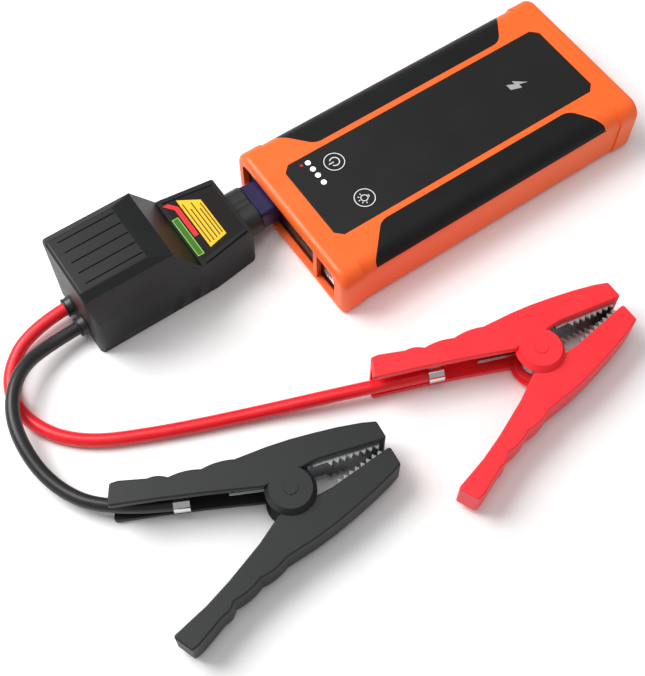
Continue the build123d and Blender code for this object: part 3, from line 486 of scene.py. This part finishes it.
# ---------------------------------------------------------------------------------------------
# Inside the bank: pouch cells on a foam pad, a board with its parts, switches and screws.
# None of it shows when the case is shut, but each piece has its own real finish.
cell_foil = metal("aluminium_laminate_foil", "#B9BCC0", 0.35, 4.0, 0.3)
foam = moulded_plastic("closed_cell_foam", "#2C2C2C", "#1C1C1C", 0.9, 0.8, 0.5)
epoxy_black = moulded_plastic("moulded_epoxy", "#1B1B1C", "#151516", 0.45, 0.4, 0.1)
zinc_plate = metal("zinc_plated_screw_steel", "#A8ABAE", 0.3, 0.8, 0.1)
finish(cell_foil, "battery_cells")
finish(foam, "cell_pad")
finish(epoxy_black, "board_components", "tact_switches", "power_relays")
finish(zinc_plate, "case_screws", "box_screws")


# ---------------------------------------------------------------------------------------------
# Clamp plug: a keyed housing of dark blue nylon with two gold-plated pins, on a moulded neck.
# The neck is black PVC run over the two cores, so it shows two soft lobes.
finish(blue_nylon, "plug_housing")
finish(neck_rubber, "plug_neck")


# ---------------------------------------------------------------------------------------------
# Control box: two ABS halves from a coarse-grained tool, holding the relay board, screwed below.
# The grain breaks up the light, so the slopes look evenly charcoal.
box_black = moulded_plastic("coarse_grained_black_abs", "#161718", "#121313", 0.44, 0.7, 0.22, 0.26)
finish(box_black, "control_box_upper", "control_box_lower")


# ---------------------------------------------------------------------------------------------
# Rating label: printed polyester film stuck in a framed recess on the box.
# The film is black and glossy; its fields are yellow, red and green ink with no words.
label_film = printing_ink("black_polyester_film", "#15100D", 0.22)
yellow_ink = printing_ink("yellow_ink", "#FFC51E")
red_ink = printing_ink("red_ink", "#F0242A")
green_ink = printing_ink("green_ink", "#37740C")
pale_green_ink = printing_ink("pale_green_ink", "#9AD95C")
dark_ink = printing_ink("dark_ink", "#3A2A08")
finish(label_film, "control_box_label")
label_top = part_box("control_box_label")[1].z / MM
field_shapes = (
    ("yellow_field", yellow_ink, [[(-126, 38.0), (-116.2, 32), (-116.2, 9.5), (-126, 7.2)]]),
    ("red_field", red_ink, [[(-133.0, 38.4), (-130.2, 38.4), (-126.9, 34.2), (-126.9, 16), (-129.2, 16),
                             (-129.2, 33.6)]]),
    ("green_field", green_ink, [[(-133, 29), (-130.4, 29), (-130.4, 6.4), (-133, 6.4)]]),
)
for name, ink, outlines in field_shapes:
    field = plates(name, outlines, label_top - 0.02, label_top + ink_height)
    new_piece(name, field, ink, "clamp_lead")
rule_width = 0.55
rules = [[(x, low_y), (x + rule_width, low_y), (x + rule_width, high_y), (x, high_y)]
         for x, low_y, high_y in ((-124.9, 9.5, 34.5), (-123.0, 9.5, 30), (-121.1, 10, 33), (-119.2, 10.5, 28),
                                  (-117.6, 11, 30.5))]
rule_mesh = plates("label_rules", rules, label_top + ink_height - 0.01, label_top + 2 * ink_height)
new_piece("label_rules", rule_mesh, dark_ink, "clamp_lead")
outline_low, outline_high, outline_width = (-133.35, 6.0), (-130.05, 29.4), 0.35


def rectangle(low, high, inset=0.0):
    """A rectangle's four corners, drawn in from low and high by inset."""
    near, far = (low[0] + inset, low[1] + inset), (high[0] - inset, high[1] - inset)
    return [near, (far[0], near[1]), far, (near[0], far[1])]


outline_mesh = plates("green_outline", [(rectangle(outline_low, outline_high),
                                         rectangle(outline_low, outline_high, outline_width))],
                      label_top - 0.01, label_top + ink_height)
new_piece("green_outline", outline_mesh, pale_green_ink, "clamp_lead")


# ---------------------------------------------------------------------------------------------
# Clamps: each has two glass-filled nylon arms, hinged on a pin, with pressed and plated steel
# jaws inside them. A wound spring on the pin keeps the jaws shut.
clamp_spots = {"red": (-32.8, -116.4, 0.0), "black": (-159.5, -108.4, -5.3)}
clamp_red = moulded_plastic("red_moulded_nylon", "#F8343C", "#F22C34", 0.42, 0.5, 0.12, 0.3)
clamp_black = moulded_plastic("black_moulded_nylon", "#2A2B2C", "#252627", 0.5, 0.5, 0.14, 0.25)
chrome = metal("bright_plated_steel", "#D9DADB", 0.16, 1.2, 0.06)
spring_wire_steel = metal("drawn_spring_wire", "#A7A9AC", 0.28, 0.6, 0.08)
for colour, arm_plastic in (("red", clamp_red), ("black", clamp_black)):
    finish(arm_plastic, colour + "_cable_arm", colour + "_lever_arm", colour + "_pivot_pin")
    finish(chrome, colour + "_cable_jaw", colour + "_lever_jaw", colour + "_crimp_clip")


# ---------------------------------------------------------------------------------------------
# Clamp springs: hard-drawn steel wire, wound three and a half turns round each pivot pin.
# Its straight legs press the two arms apart, which keeps the jaws shut. One leg goes with the lever.
wire_radius, coil_radius, coil_turns, coil_low, coil_height = 0.98, 6.2, 3.5, 8.1, 5.7
spring_legs = {"coil": (coil_turns, (-22.0, 8.6), coil_radius), "leg": (0, (-22.0, -11.4), -coil_radius)}
spring_tree, spring_in, spring_out = new_geometry_tree("wound_spring", (
    ("Coil radius", "NodeSocketFloat"), ("Wire radius", "NodeSocketFloat"), ("Turns", "NodeSocketFloat"),
    ("Height", "NodeSocketFloat"), ("Leg start", "NodeSocketVector"), ("Leg end", "NodeSocketVector"),
    ("Material", "NodeSocketMaterial")))
coil = add_node(spring_tree, "GeometryNodeCurveSpiral", {
    "Resolution": 40, "Rotations": spring_in["Turns"], "Start Radius": spring_in["Coil radius"],
    "End Radius": spring_in["Coil radius"], "Height": spring_in["Height"], "Reverse": True})
turned_coil = add_node(spring_tree, "GeometryNodeTransform", {"Geometry": coil.outputs[0],
                                                              "Rotation": (0, 0, pi / 2)})
no_turns = add_node(spring_tree, "FunctionNodeCompare", {0: spring_in["Turns"], 1: 0.5}, operation="LESS_THAN")
chosen_coil = add_node(spring_tree, "GeometryNodeSwitch", {"Switch": no_turns.outputs[0],
                                                           "False": turned_coil.outputs[0]},
                       input_type="GEOMETRY")
leg_line = add_node(spring_tree, "GeometryNodeCurvePrimitiveLine", {"Start": spring_in["Leg start"],
                                                                    "End": spring_in["Leg end"]})
wire_path = add_node(spring_tree, "GeometryNodeJoinGeometry", {0: leg_line.outputs[0]})
spring_tree.links.new(chosen_coil.outputs[0], wire_path.inputs[0])
wire_section = add_node(spring_tree, "GeometryNodeCurvePrimitiveCircle", {"Resolution": 14,
                                                                          "Radius": spring_in["Wire radius"]})
wire = add_node(spring_tree, "GeometryNodeCurveToMesh", {"Curve": wire_path.outputs[0],
                                                         "Profile Curve": wire_section.outputs[0],
                                                         "Fill Caps": True})
end_geometry_tree(spring_tree, wire, spring_in, spring_out)
for colour, (pivot_x, pivot_y, turn) in clamp_spots.items():
    for part, (turns, reach, start_y) in spring_legs.items():
        height = 0.0 if turns else coil_height
        spring = grown_mesh("spring", spring_tree, {
            "Coil radius": coil_radius * MM, "Wire radius": wire_radius * MM, "Turns": float(turns),
            "Height": coil_height * MM, "Leg start": Vector((0, start_y, height)) * MM,
            "Leg end": Vector((reach[0], start_y + reach[1], height)) * MM, "Material": spring_wire_steel})
        spring.transform(Matrix.Translation(Vector((pivot_x, pivot_y, coil_low)) * MM)
                         @ Matrix.Rotation(radians(turn), 4, "Z"))
        wound = new_piece(colour + "_spring_" + part, spring, spring_wire_steel,
                          "clamp_lead" if turns else colour + "_lever")
        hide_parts(colour + "_torsion_spring")
